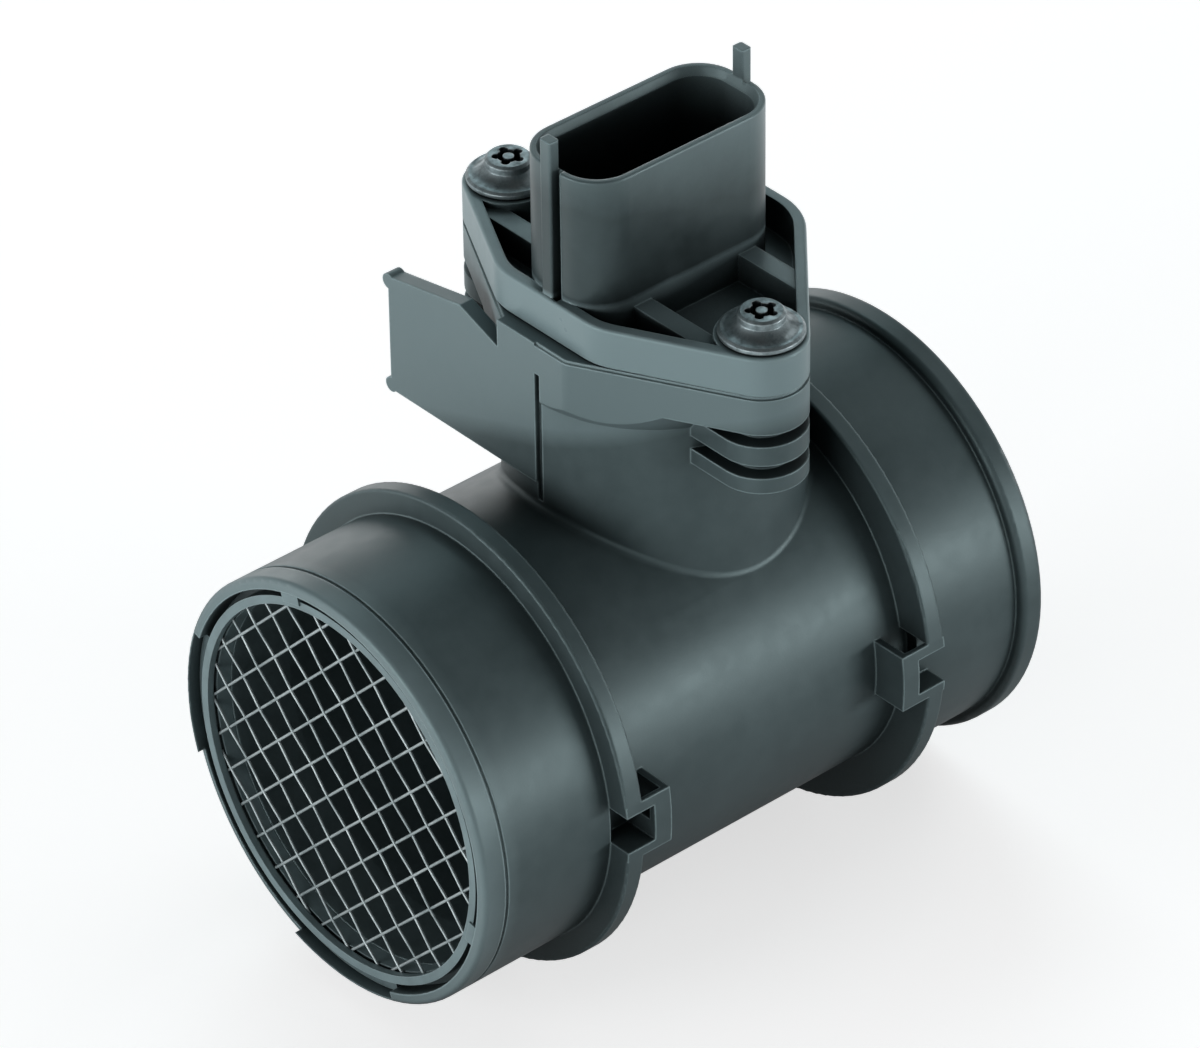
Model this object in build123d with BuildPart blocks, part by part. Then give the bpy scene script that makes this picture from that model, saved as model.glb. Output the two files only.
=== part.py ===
from build123d import *
from math import cos, sin, radians
import os

# Mass airflow sensor: a measuring tube with a plug-in hot-film probe.
# Millimetres. X runs along the tube with the flow, +Z up the tower, origin at the inlet's centre.

os.makedirs("parts", exist_ok=True)

# ---- driving dimensions -------------------------------------------------------------------
tube_length = 96.0
spigot_r = 30.0            # hose seat at both ends, 60 mm diameter
barrel_r = spigot_r - 1.9  # tube between the two collars
throat_r = spigot_r - 5.0  # measuring bore, 50 mm diameter

collar_r = spigot_r + 3.4
collar_w = 2.8
inlet_collar_x = 21.0
outlet_collar_x = tube_length - 22.5
outlet_bead_r = spigot_r + 1.5
outlet_bead_w = 3.6

tower_x = 55.5             # probe axis
neck_r = 20.0
flange_z = 47.9            # underside of the tube's own flange
flange_h = 5.6
screw_x = tower_x - 3.4
screw_y = 24.2             # each screw's distance from the middle plane
nose_r = 6.1
plate_h = 5.9

probe_len_x = 20.0         # blade that hangs into the flow
probe_len_y = 13.0
probe_tip_z = -13.2
fit_gap = 0.15             # sliding clearance on each side

# ---- heights worked out from them ---------------------------------------------------------
flange_top = flange_z + flange_h
plate_top = flange_top + plate_h
connector_top = plate_top + 18.8

# ---- mouth of the inlet and its grille ----------------------------------------------------
mouth_r = spigot_r - 1.6
mouth_depth = 4.5
window_r = throat_r + 1.15
grille_turn = -45          # the grille's own zero, measured from +Y towards +Z
pocket_r = spigot_r - 0.5
pocket_depth = 2.6
pocket_from, pocket_to = 27, 66
lip_cut = 1.1
ring_r = mouth_r - 1.05
lip_groove_r = spigot_r - 0.6
lip_groove_depth = 7.0
wire = 0.55
wire_count = 11
wire_pitch = 1.99 * window_r / wire_count
wire_x = 1.6


# A sector of a disc in the plane of the sketch, used to cut or keep part of a ring
def sector(start, end):
    rim = [2 * spigot_r * Vector(cos(radians(a)), sin(radians(a))) for a in (start, (start + end) / 2, end)]
    Polygon((0, 0), *rim, align=None)


# ---- inlet and outlet collars -------------------------------------------------------------
# On the -Y side a short stretch of each collar stands back, with a wall at each end of it,
# so that the clip of the hose clamp can lock into the pocket.
jog_shift = 4.6
jog_h = 8.4
jog_z = 1.0
jog_wall = 1.5
collar_root_r = barrel_r - 1.5
jog_reach = collar_r - collar_root_r + 4
jog_frame = 1.1
collar_round = 0.35

with BuildPart() as collar_jog:
    with BuildSketch(Plane.YZ.offset(inlet_collar_x)):
        Circle(collar_r)
        Circle(collar_root_r, mode=Mode.SUBTRACT)
    extrude(amount=jog_shift + collar_w)
    with Locations((inlet_collar_x, -collar_r, jog_z)):
        Box(4 * jog_shift, 2 * jog_reach, jog_h, mode=Mode.INTERSECT)
    with Locations((inlet_collar_x, -collar_r, jog_z)):
        Box(2 * jog_shift, 2 * jog_reach, jog_h - 2 * jog_wall, mode=Mode.SUBTRACT)
    # window through the upper wall
    with Locations((inlet_collar_x + jog_frame, jog_frame - collar_r, jog_z)):
        Box(jog_shift + collar_w - 2 * jog_frame, jog_reach, jog_h, align=(Align.MIN, Align.MIN, Align.MIN),
            mode=Mode.SUBTRACT)

with BuildPart() as inlet_collar:
    with BuildSketch(Plane.YZ.offset(inlet_collar_x)):
        Circle(collar_r)
        Circle(collar_root_r, mode=Mode.SUBTRACT)
    extrude(amount=collar_w)
    fillet(inlet_collar.edges().filter_by(GeomType.CIRCLE).group_by(SortBy.RADIUS)[-1], collar_round)
    with Locations((inlet_collar_x, -collar_r, jog_z)):
        Box(4 * jog_shift, 2 * jog_reach, jog_h, mode=Mode.SUBTRACT)
    add(collar_jog.part)

collar_mid_x = (inlet_collar_x + outlet_collar_x + collar_w) / 2

# ---- outline shared by the tube's flange and the probe's plate ----------------------------
back_corner_r = 11.0
plate_front_x = tower_x - 18.2
plate_corner_r = 9.0
plate_back_x = tower_x + 20.2
plate_corner_y = 7.1
flange_front_x = tower_x - 20.3
flange_corner_y = 5.0
flange_corner_r = 3.0
trim = 0.02                # the hull is drawn this much over and trimmed to a flat front
back_corner_y = 2.6


def hull_outline(front_x, corner_y, corner_r):
    with Locations((front_x + corner_r, corner_y), (front_x + corner_r, -corner_y)):
        Circle(corner_r)
    with Locations((screw_x, screw_y), (screw_x, -screw_y)):
        Circle(nose_r)
    back_x = plate_back_x - back_corner_r
    with Locations((back_x, back_corner_y), (back_x, -back_corner_y)):
        Circle(back_corner_r)
    make_hull()


def flange_outline():
    hull_outline(flange_front_x - trim, flange_corner_y, flange_corner_r)
    with Locations((flange_front_x, 0)):
        Rectangle(plate_back_x, 4 * screw_y, align=(Align.MIN, Align.CENTER), mode=Mode.INTERSECT)


# ---- outline shared by the probe's blade and the slot it passes through -------------------
nose_fillet = 3.0
tail_fillet = 1.3


def blade_outline(gap):
    with BuildSketch(mode=Mode.PRIVATE) as blade:
        with Locations((tower_x, 0)):
            Rectangle(probe_len_x + 2 * gap, probe_len_y + 2 * gap)
        fillet(blade.vertices().group_by(Axis.X)[0], nose_fillet)
        fillet(blade.vertices().group_by(Axis.X)[-1], tail_fillet)
    add(blade.sketch)


# ---- tube_housing: tube, collars, neck, flange, screw lugs and cable fin in one moulding --
seat_r = 14.0              # bore that the probe's seal runs in
seat_floor_z = barrel_r + 2.9
insert_r = 3.0
insert_len = 9.0
lug_bottom = flange_z - 8.9
parting_h = 0.35
parting_in = 0.35
skirt_h = 3.6
skirt_out = 2.3
lug_core_r = 3.9
lug_slots = ((lug_bottom + 2.3, 1.9), (flange_z - 1.8, 1.8))
fin_t = 2.2
fin_bead_r = 1.1
fin_bead_in = 0.7
fin_rise = 0.66
fin_end_y = 28.8
fin_bottom = flange_z - 15.9
fin_end_top = flange_z + 1.6
fin_notch_y = 7.2
fin_notch_end_y = 14.5
fin_notch_z = flange_z + 1.5
seam_w = 0.9
seam_depth = 0.8
seam_top = flange_z + 1.0
foot_fillet = 1.0
lip_round = 0.7
seat_line_x = 3.4
seat_line_w = 0.5
seat_line_depth = 0.25
mark_r = 2.6
mark_depth = 0.24
mark_x = 34.3
mark_at = 155             # degrees from +Y towards +Z
bell_l = 9.0
flare_l = 16.0
flare = 1.9
bead_round = 0.8
foot_clear = 1.2

# Cone that runs the flange out into the neck
with BuildPart() as flange_skirt:
    with BuildSketch(Plane.XY.offset(flange_z - skirt_h)):
        flange_outline()
    extrude(amount=skirt_h)
    with Locations((tower_x, 0, flange_z - skirt_h)):
        Cone(neck_r - 0.1, neck_r + skirt_out, skirt_h, align=(Align.CENTER, Align.CENTER, Align.MIN),
             mode=Mode.INTERSECT)

with BuildPart() as tube_housing:
    # barrel and neck, rounded into each other at the neck's foot
    with BuildSketch(Plane.YZ):
        Circle(barrel_r)
    extrude(amount=tube_length)
    with BuildSketch(Plane.XY):
        with Locations((tower_x, 0)):
            Circle(neck_r)
    extrude(amount=flange_z)
    bent = tube_housing.edges().filter_by(GeomType.CIRCLE, reverse=True)
    fillet(bent.filter_by(GeomType.LINE, reverse=True), foot_fillet)
    # hose seats at both ends, with a bead on the outlet
    with BuildSketch(Plane.XY) as seat_section:
        with BuildLine():
            Polyline(
                (0, throat_r),
                (0, spigot_r),
                (seat_line_x, spigot_r),
                (seat_line_x, spigot_r - seat_line_depth),
                (seat_line_x + seat_line_w, spigot_r - seat_line_depth),
                (seat_line_x + seat_line_w, spigot_r),
                (inlet_collar_x, spigot_r),
                (inlet_collar_x, throat_r),
                close=True,
            )
        make_face()
        fillet(seat_section.vertices().group_by(Axis.Y)[-1].sort_by(Axis.X)[0], lip_round)
    revolve(axis=Axis.X)
    with BuildSketch(Plane.XY) as bead_section:
        with BuildLine():
            Polyline(
                (outlet_collar_x + 1, throat_r),
                (outlet_collar_x + 1, spigot_r),
                (tube_length - outlet_bead_w, spigot_r),
                (tube_length - outlet_bead_w, outlet_bead_r),
                (tube_length, outlet_bead_r),
                (tube_length, throat_r),
                close=True,
            )
        make_face()
        fillet(bead_section.vertices().group_by(Axis.Y)[-1], bead_round)
    revolve(axis=Axis.X)
    add(inlet_collar.part)
    add(mirror(inlet_collar.part, about=Plane.YZ.offset(collar_mid_x), mode=Mode.PRIVATE))
    # flange that the probe is screwed to
    with BuildSketch(Plane.XY.offset(flange_z)):
        flange_outline()
    extrude(amount=flange_h - parting_h)
    with BuildSketch(Plane.XY.offset(flange_top - parting_h)):
        flange_outline()
        offset(amount=-parting_in)
    extrude(amount=parting_h)
    add(flange_skirt.part)
    # screw lugs below the flange's noses, each a core with two ribs round it
    for rib_z, rib_top in ((lug_bottom, lug_slots[0][0]), (lug_slots[0][0] + lug_slots[0][1], lug_slots[1][0])):
        with BuildSketch(Plane.XY.offset(rib_z)):
            with Locations((screw_x, 0)):
                SlotCenterToCenter(2 * screw_y, 2 * nose_r, rotation=90)
        extrude(amount=rib_top - rib_z)
    with BuildSketch(Plane.XY.offset(lug_bottom)):
        with Locations((screw_x, 0)):
            SlotCenterToCenter(2 * screw_y, 2 * lug_core_r, rotation=90)
    extrude(amount=flange_z - lug_bottom)
    # cable fin on the upstream face
    with BuildSketch(Plane.YZ.offset(flange_front_x)):
        Polygon(
            (0, fin_bottom),
            (fin_end_y, fin_bottom),
            (fin_end_y, fin_end_top),
            (fin_notch_end_y, fin_end_top + (flange_top - fin_end_top) * fin_rise),
            (fin_notch_y, fin_notch_z),
            (fin_notch_y, flange_top),
            (0, flange_top),
            align=None,
        )
        with Locations((fin_end_y, fin_bottom + fin_bead_in), (fin_end_y, fin_end_top - fin_bead_in)):
            Circle(fin_bead_r)
    extrude(amount=fin_t)
    # groove down the neck beside the fin
    with Locations((flange_front_x, 0, barrel_r + foot_clear)):
        Box(2 * seam_depth, seam_w, seam_top - barrel_r - foot_clear, align=(Align.CENTER, Align.MAX, Align.MIN),
            mode=Mode.SUBTRACT)
    # through bore, a short bell mouth behind the grille and a slow flare to the outlet
    with BuildSketch(Plane.XY):
        with BuildLine():
            Polyline(
                (-1, 0),
                (-1, mouth_r),
                (mouth_depth, mouth_r),
                (mouth_depth, window_r),
                (mouth_depth + bell_l, throat_r),
                (tube_length - flare_l, throat_r),
                (tube_length, throat_r + flare),
                (tube_length + 1, throat_r + flare),
                (tube_length + 1, 0),
                close=True,
            )
        make_face()
    revolve(axis=Axis.X, mode=Mode.SUBTRACT)
    # snap pockets for the grille ring and the low stretch of the lip between them
    for start, end, depth, reach in (
        (pocket_from, pocket_to, pocket_depth, pocket_r),
        (-pocket_to, -pocket_from, pocket_depth, pocket_r),
        (-pocket_from, pocket_from, lip_cut, spigot_r + 1),
    ):
        with BuildSketch(Plane.YZ):
            sector(grille_turn + start, grille_turn + end)
            Circle(reach, mode=Mode.INTERSECT)
            Circle(throat_r, mode=Mode.SUBTRACT)
        extrude(amount=depth, mode=Mode.SUBTRACT)
    # deep groove between the ring and the low stretch of the lip
    with BuildSketch(Plane.YZ):
        sector(grille_turn - pocket_from, grille_turn + pocket_from)
        Circle(lip_groove_r, mode=Mode.INTERSECT)
        Circle(ring_r + fit_gap, mode=Mode.SUBTRACT)
    extrude(amount=lip_groove_depth, mode=Mode.SUBTRACT)
    # seat for the probe's seal, the slot its blade passes through, and the insert holes
    with BuildSketch(Plane.XY.offset(seat_floor_z)):
        with Locations((tower_x, 0)):
            Circle(seat_r)
    extrude(amount=flange_top - seat_floor_z + 1, mode=Mode.SUBTRACT)
    with BuildSketch():
        blade_outline(3 * fit_gap)
    extrude(amount=seat_floor_z + 1, mode=Mode.SUBTRACT)
    with Locations((screw_x, screw_y, flange_top), (screw_x, -screw_y, flange_top)):
        Hole(insert_r, depth=insert_len + 1.5)
    # small round witness mark of the mould
    mark_dir = (0, cos(radians(mark_at)), sin(radians(mark_at)))
    with Locations(Plane((mark_x, 0, 0), x_dir=(1, 0, 0), z_dir=mark_dir)):
        with Locations((0, 0, barrel_r)):
            Cylinder(mark_r, mark_depth, mode=Mode.SUBTRACT)
tube_housing.part.label = "tube_housing"
export_step(tube_housing.part, "parts/tube_housing.step")


# ---- grille_ring: snaps into the mouth and holds the grille -------------------------------
ring_front_x = 0.6
ring_foot_x = 3.0
ring_foot_r = mouth_r - 0.05
ring_tab_x = ring_front_x - 0.3
ring_ease = 2              # degrees between a lug and its pocket
ring_lug_x = 1.9
ring_lug_r = pocket_r - 0.1
ring_tab_at = 119
ring_tab_half = 3.5
wire_seat_r = window_r + 0.6

with BuildPart() as grille_ring:
    with BuildSketch(Plane.XY):
        with BuildLine():
            Polyline(
                (ring_front_x, window_r),
                (ring_front_x, ring_r),
                (ring_foot_x, ring_r),
                (ring_foot_x, ring_foot_r),
                (mouth_depth, ring_foot_r),
                (mouth_depth, window_r),
                (wire_x + wire, window_r),
                (wire_x + wire, wire_seat_r),
                (wire_x, wire_seat_r),
                (wire_x, window_r),
                close=True,
            )
        make_face()
    revolve(axis=Axis.X)
    # the foot stops short of the deep groove
    with BuildSketch(Plane.YZ):
        sector(grille_turn - pocket_from - ring_ease, grille_turn + pocket_from + ring_ease)
        Circle(mouth_r, mode=Mode.INTERSECT)
        Circle(ring_r, mode=Mode.SUBTRACT)
    extrude(amount=mouth_depth + 1, mode=Mode.SUBTRACT)
    # lugs in the two snap pockets and two tabs that turn the ring the right way round
    for start, end, front, back, reach in (
        (pocket_from + ring_ease, pocket_to - ring_ease, ring_lug_x, pocket_depth, ring_lug_r),
        (-pocket_to + ring_ease, -pocket_from - ring_ease, ring_lug_x, pocket_depth, ring_lug_r),
        (ring_tab_at - ring_tab_half, ring_tab_at + ring_tab_half, ring_tab_x, ring_foot_x, ring_foot_r),
        (-ring_tab_at - ring_tab_half, -ring_tab_at + ring_tab_half, ring_tab_x, ring_foot_x, ring_foot_r),
    ):
        with BuildSketch(Plane.YZ.offset(front)):
            sector(grille_turn + start, grille_turn + end)
            Circle(reach, mode=Mode.INTERSECT)
            Circle(wire_seat_r + 0.1, mode=Mode.SUBTRACT)
        extrude(amount=back - front)
grille_ring.part.label = "grille_ring"
export_step(grille_ring.part, "parts/grille_ring.step")

# ---- wire_grille --------------------------------------------------------------------------
with BuildPart() as wire_grille:
    with BuildSketch(Plane.YZ.offset(wire_x)):
        for turn in (grille_turn, grille_turn + 90):
            with Locations(Location((0, 0, 0), (0, 0, turn))):
                with GridLocations(wire_pitch, 1, wire_count, 1):
                    Rectangle(wire, 2 * wire_seat_r)
        Circle(wire_seat_r - 0.05, mode=Mode.INTERSECT)
    extrude(amount=wire)
wire_grille.part.label = "wire_grille"
export_step(wire_grille.part, "parts/wire_grille.step")

# ---- terminals: five pins, spread in the socket and drawn together inside the probe -------
connector_x = tower_x - 0.7
terminal_count = 5
terminal_pitch = 4.6
terminal_root_pitch = 2.1
terminal_w = 1.4
terminal_root_w = 1.0
terminal_t = 0.6
terminal_tip_z = plate_top + 10.6
terminal_jog_top = flange_top + 3.0
terminal_jog_bottom = flange_top - 3.0
board_x = tower_x - 0.6
terminal_point = 1.2
terminal_end_z = flange_top - 17.0

terminals = []
for number in range(terminal_count):
    tip_x = connector_x + (number - terminal_count // 2) * terminal_pitch
    root_x = board_x + (number - terminal_count // 2) * terminal_root_pitch
    with BuildPart() as terminal:
        with BuildSketch(Plane.XZ):
            Polygon(
                (tip_x - terminal_w / 2, terminal_tip_z - terminal_point),
                (tip_x - terminal_w / 4, terminal_tip_z),
                (tip_x + terminal_w / 4, terminal_tip_z),
                (tip_x + terminal_w / 2, terminal_tip_z - terminal_point),
                (tip_x + terminal_w / 2, terminal_jog_top),
                (root_x + terminal_root_w / 2, terminal_jog_bottom),
                (root_x + terminal_root_w / 2, terminal_end_z),
                (root_x - terminal_root_w / 2, terminal_end_z),
                (root_x - terminal_root_w / 2, terminal_jog_bottom),
                (tip_x - terminal_w / 2, terminal_jog_top),
                align=None,
            )
        extrude(amount=terminal_t / 2, both=True)
    terminal.part.label = f"terminal_{number + 1}"
    export_step(terminal.part, f"parts/{terminal.part.label}.step")
    terminals.append(terminal.part)

# ---- temperature sensor: a bead on two leads in a window of the blade ---------------------
probe_front_x = tower_x - probe_len_x / 2
probe_back_x = tower_x + probe_len_x / 2
side_y = probe_len_y / 2
window_x = tower_x + 6.7
window_z = 12.0
window_top = 23.0
bead_x = tower_x + 8.5
bead_z = window_z + 3.5
bead_r = 1.15
lead_r = 0.25
lead_y = 0.55
lead_root = 2.5

with BuildPart() as temperature_bead:
    with Locations((bead_x, 0, bead_z)):
        Sphere(bead_r)
        Cylinder(0.85 * bead_r, 1.4 * bead_r, align=(Align.CENTER, Align.CENTER, Align.MIN))
    with Locations((bead_x, lead_y, bead_z), (bead_x, -lead_y, bead_z)):
        Cylinder(lead_r, 2 * bead_r, align=(Align.CENTER, Align.CENTER, Align.MIN), mode=Mode.SUBTRACT)
temperature_bead.part.label = "temperature_bead"
export_step(temperature_bead.part, "parts/temperature_bead.step")

leads = []
for number, y in enumerate((lead_y, -lead_y)):
    with BuildPart() as temperature_lead:
        with Locations((bead_x, y, bead_z)):
            Cylinder(lead_r, window_top + lead_root - bead_z, align=(Align.CENTER, Align.CENTER, Align.MIN))
    temperature_lead.part.label = f"temperature_lead_{number + 1}"
    export_step(temperature_lead.part, f"parts/{temperature_lead.part.label}.step")
    leads.append(temperature_lead.part)

# ---- sensor_body: plate, connector, seal collar and blade in one moulding -----------------
tray_depth = 5.0
tray_rim = 1.6
web_low = 1.0
plate_round = 0.4
web_w = 3.0
web_x = 8.9
web_shift = 0.8
screw_clear_r = 2.6
connector_l = 32.4
connector_w = 15.8
connector_corner_r = 6.0
connector_wall = 1.4
connector_lead_in = 0.6
lead_in_slope = 26
connector_round = 0.3
socket_floor = plate_top + 1.1
rib_over = 4.2             # how far the two end ribs stand above the rim
rib_w = 2.0
rib_t = 1.6
rib_round = 0.3
rib_y = 0.3
rib_groove_w = 0.9
rib_groove_depth = 0.8
collar_bottom = flange_top - 11.5
groove_z = flange_top - 8.2
groove_h = 3.2
groove_r = 11.5
cover_t = 1.2
ledge = 0.9
bay_x = tower_x - 6.0
bay_back_x = tower_x + 4.8
bay_z = 9.5
bay_top = collar_bottom - 2.0
bay_y = 0.3                # floor of the electronics bay
channel_h = 6.0
channel_bottom = probe_tip_z + 1.7
channel_z = channel_bottom + 9.5# middle of the inlet leg
channel_y = 4.0
nose_slot_w = 6.4
exit_inset = 0.6
exit_l = 4.6
exit_h = 3.4
channel_start_x = tower_x - 4.5
turn_x = tower_x + 1.5
tongue_x = tower_x - 2.0
tongue_w = 4.0
tongue_t = 0.8
plate_t = 1.2              # metal carrier plate
plate_y = bay_y - plate_t

channel_top = channel_z + channel_h / 2
turn_r = (channel_top - channel_bottom) / 2
turn_z = (channel_top + channel_bottom) / 2
septum_t = 1.5
leg_h = turn_r - septum_t / 2
tongue_end_z = channel_top - leg_h + 0.4


# Outline of the curved bypass, grown by the ledge that its cover sits on
def bypass_outline(grow):
    with Locations((channel_start_x - grow, turn_z)):
        Rectangle(turn_x - channel_start_x + grow, 2 * (turn_r + grow), align=(Align.MIN, Align.CENTER))
    with Locations((turn_x, turn_z)):
        Circle(turn_r + grow)


def bay_outline(grow):
    with Locations(((bay_x + bay_back_x) / 2, (bay_z + bay_top) / 2)):
        RectangleRounded(bay_back_x - bay_x + 2 * grow, bay_top - bay_z + 2 * grow, 1.0 + grow)


with BuildPart() as sensor_body:
    # plate with a deep tray round the connector, braced by webs
    with BuildSketch(Plane.XY.offset(flange_top)):
        hull_outline(plate_front_x, plate_corner_y, plate_corner_r)
    extrude(amount=plate_h)
    fillet(sensor_body.edges().group_by(Axis.Z)[-1], plate_round)
    chamfer(sensor_body.edges().group_by(Axis.Z)[0], parting_h)
    with BuildSketch(Plane.XY.offset(plate_top - tray_depth)):
        hull_outline(plate_front_x, plate_corner_y, plate_corner_r)
        offset(amount=-tray_rim)
        with Locations((screw_x, screw_y), (screw_x, -screw_y)):
            Circle(nose_r, mode=Mode.SUBTRACT)
    extrude(amount=tray_depth, mode=Mode.SUBTRACT)
    with BuildSketch(Plane.XY.offset(plate_top - tray_depth)):
        hull_outline(plate_front_x, plate_corner_y, plate_corner_r)
        offset(amount=-tray_rim / 2)
        with Locations((connector_x - web_x + web_shift, 0), (connector_x + web_x + web_shift, 0)):
            Rectangle(web_w, 4 * screw_y, mode=Mode.INTERSECT)
    extrude(amount=tray_depth - web_low)
    # connector shell
    with BuildSketch(Plane.XY.offset(plate_top - tray_depth)):
        with Locations((connector_x, 0)):
            RectangleRounded(connector_l, connector_w, connector_corner_r)
    extrude(amount=connector_top - plate_top + tray_depth)
    fillet(sensor_body.faces().sort_by(Axis.Z)[-1].outer_wire().edges(), connector_round)
    # rib at each end, with a groove beside it
    with BuildSketch(Plane.XY.offset(plate_top - tray_depth)):
        with Locations(
            (connector_x - connector_l / 2, rib_y - (rib_w + rib_groove_w) / 2),
            (connector_x + connector_l / 2, rib_y - (rib_w + rib_groove_w) / 2),
        ):
            Rectangle(2 * rib_groove_depth, rib_groove_w)
    extrude(amount=connector_top, mode=Mode.SUBTRACT)
    with BuildSketch(Plane.XY.offset(plate_top - tray_depth)):
        with Locations((connector_x - connector_l / 2, rib_y), (connector_x + connector_l / 2, rib_y)):
            RectangleRounded(rib_t, rib_w, rib_round)
    extrude(amount=connector_top - plate_top + tray_depth + rib_over)
    with BuildSketch(Plane.XY.offset(socket_floor)):
        with Locations((connector_x, 0)):
            RectangleRounded(
                connector_l - 2 * connector_wall,
                connector_w - 2 * connector_wall,
                connector_corner_r - connector_wall,
            )
    extrude(amount=connector_top - socket_floor + rib_over, mode=Mode.SUBTRACT)
    with BuildSketch(Plane.XY.offset(connector_top)):
        with Locations((connector_x, 0)):
            RectangleRounded(
                connector_l - 2 * connector_wall + 2 * connector_lead_in,
                connector_w - 2 * connector_wall + 2 * connector_lead_in,
                connector_corner_r - connector_wall + connector_lead_in,
            )
    extrude(amount=-2 * connector_lead_in, taper=lead_in_slope, mode=Mode.SUBTRACT)
    # collar with the seal's groove
    with BuildSketch(Plane.XY.offset(collar_bottom)):
        with Locations((tower_x, 0)):
            Circle(seat_r - fit_gap)
    extrude(amount=flange_top - collar_bottom)
    with BuildSketch(Plane.XY.offset(groove_z)):
        with Locations((tower_x, 0)):
            Circle(seat_r + 1)
            Circle(groove_r, mode=Mode.SUBTRACT)
    extrude(amount=groove_h, mode=Mode.SUBTRACT)
    # blade with a round nose
    with BuildSketch(Plane.XY.offset(probe_tip_z)):
        blade_outline(0)
    extrude(amount=collar_bottom - probe_tip_z)
    # electronics bay and its cover's rebate
    with BuildSketch(Plane.XZ.offset(side_y)):
        bay_outline(0)
    extrude(amount=-side_y - bay_y, mode=Mode.SUBTRACT)
    with BuildSketch(Plane.XZ.offset(side_y)):
        bay_outline(ledge)
    extrude(amount=-cover_t, mode=Mode.SUBTRACT)
    # bypass: in at the nose, once round a half turn, out at both sides
    with BuildSketch(Plane.XZ.offset(side_y)):
        bypass_outline(0)
        with Locations((channel_start_x, turn_z)):
            Rectangle(turn_x - channel_start_x, septum_t, align=(Align.MIN, Align.CENTER), mode=Mode.SUBTRACT)
        with Locations((turn_x, turn_z)):
            Circle(septum_t / 2, mode=Mode.SUBTRACT)
    extrude(amount=-side_y - channel_y, mode=Mode.SUBTRACT)
    with BuildSketch(Plane.XZ.offset(side_y)):
        bypass_outline(ledge)
    extrude(amount=-cover_t, mode=Mode.SUBTRACT)
    with Locations((probe_front_x - 1, 0, channel_top)):
        Box(channel_start_x - probe_front_x + 2, nose_slot_w, leg_h,
            align=(Align.MIN, Align.CENTER, Align.MAX), mode=Mode.SUBTRACT)
    with Locations((channel_start_x + exit_inset, 0, channel_bottom + exit_inset)):
        Box(exit_l, side_y + 1, exit_h, align=(Align.MIN, Align.MIN, Align.MIN), mode=Mode.SUBTRACT)
    # slot for the carrier plate's tongue
    with Locations((tongue_x, plate_y, channel_top - 1)):
        Box(tongue_w, tongue_t, bay_z - channel_top + 2, align=(Align.CENTER, Align.MIN, Align.MIN),
            mode=Mode.SUBTRACT)
    # open window for the temperature bead
    with Locations((window_x, 0, window_z)):
        Box(probe_back_x - window_x + 1, probe_len_y + 2, window_top - window_z,
            align=(Align.MIN, Align.CENTER, Align.MIN), mode=Mode.SUBTRACT)
    # screw holes
    with Locations((screw_x, screw_y, plate_top), (screw_x, -screw_y, plate_top)):
        Hole(screw_clear_r, depth=plate_h)
    # the metal moulded in
    for metal in terminals + leads:
        add(metal, mode=Mode.SUBTRACT)
sensor_body.part.label = "sensor_body"
export_step(sensor_body.part, "parts/sensor_body.step")

# ---- seal_ring: squeezed between groove and bore ------------------------------------------
with BuildPart() as seal_ring:
    with BuildSketch(Plane.XZ):
        with Locations(((seat_r + groove_r) / 2 + tower_x, groove_z + groove_h / 2)):
            RectangleRounded(seat_r - groove_r, groove_h - 0.2, 1.1)
    revolve(axis=Axis((tower_x, 0, 0), (0, 0, 1)))
seal_ring.part.label = "seal_ring"
export_step(seal_ring.part, "parts/seal_ring.step")

# ---- covers -------------------------------------------------------------------------------
cover_gap = 0.05

with BuildPart() as electronics_cover:
    with BuildSketch(Plane.XZ.offset(side_y)):
        bay_outline(ledge - cover_gap)
    extrude(amount=-cover_t)
electronics_cover.part.label = "electronics_cover"
export_step(electronics_cover.part, "parts/electronics_cover.step")

with BuildPart() as bypass_cover:
    with BuildSketch(Plane.XZ.offset(side_y)):
        bypass_outline(ledge - cover_gap)
        with Locations((channel_start_x + exit_inset, channel_bottom + exit_inset)):
            Rectangle(exit_l, exit_h, align=(Align.MIN, Align.MIN), mode=Mode.SUBTRACT)
    extrude(amount=-cover_t)
bypass_cover.part.label = "bypass_cover"
export_step(bypass_cover.part, "parts/bypass_cover.step")

# ---- carrier_plate: metal plate whose tongue holds the chip in the flow -------------------
chip_z = channel_z
chip_w = 2.6
chip_h = 3.4
chip_sunk = 0.3
carrier_gap = 0.15
carrier_z = bay_z + 0.2
carrier_h = terminal_end_z - 1.3 - carrier_z

with BuildPart() as carrier_plate:
    with BuildSketch(Plane.XZ.offset(-plate_y)):
        with Locations(((bay_x + bay_back_x) / 2, carrier_z)):
            RectangleRounded(bay_back_x - bay_x - 2 * carrier_gap, carrier_h, 1.0, align=(Align.CENTER, Align.MIN))
    extrude(amount=-plate_t)
    with BuildSketch(Plane.XZ.offset(-plate_y)):
        with Locations((tongue_x, tongue_end_z)):
            Rectangle(tongue_w - 0.1, bay_z + 1 - tongue_end_z, align=(Align.CENTER, Align.MIN))
    extrude(amount=-tongue_t)
    with Locations((tongue_x, plate_y, chip_z)):
        Box(chip_w, 2 * chip_sunk, chip_h, mode=Mode.SUBTRACT)
carrier_plate.part.label = "carrier_plate"
export_step(carrier_plate.part, "parts/carrier_plate.step")

with BuildPart() as sensor_chip:
    with Locations((tongue_x, plate_y + chip_sunk, chip_z)):
        Box(chip_w, chip_sunk + 0.1, chip_h, align=(Align.CENTER, Align.MAX, Align.CENTER))
sensor_chip.part.label = "sensor_chip"
export_step(sensor_chip.part, "parts/sensor_chip.step")

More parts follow.
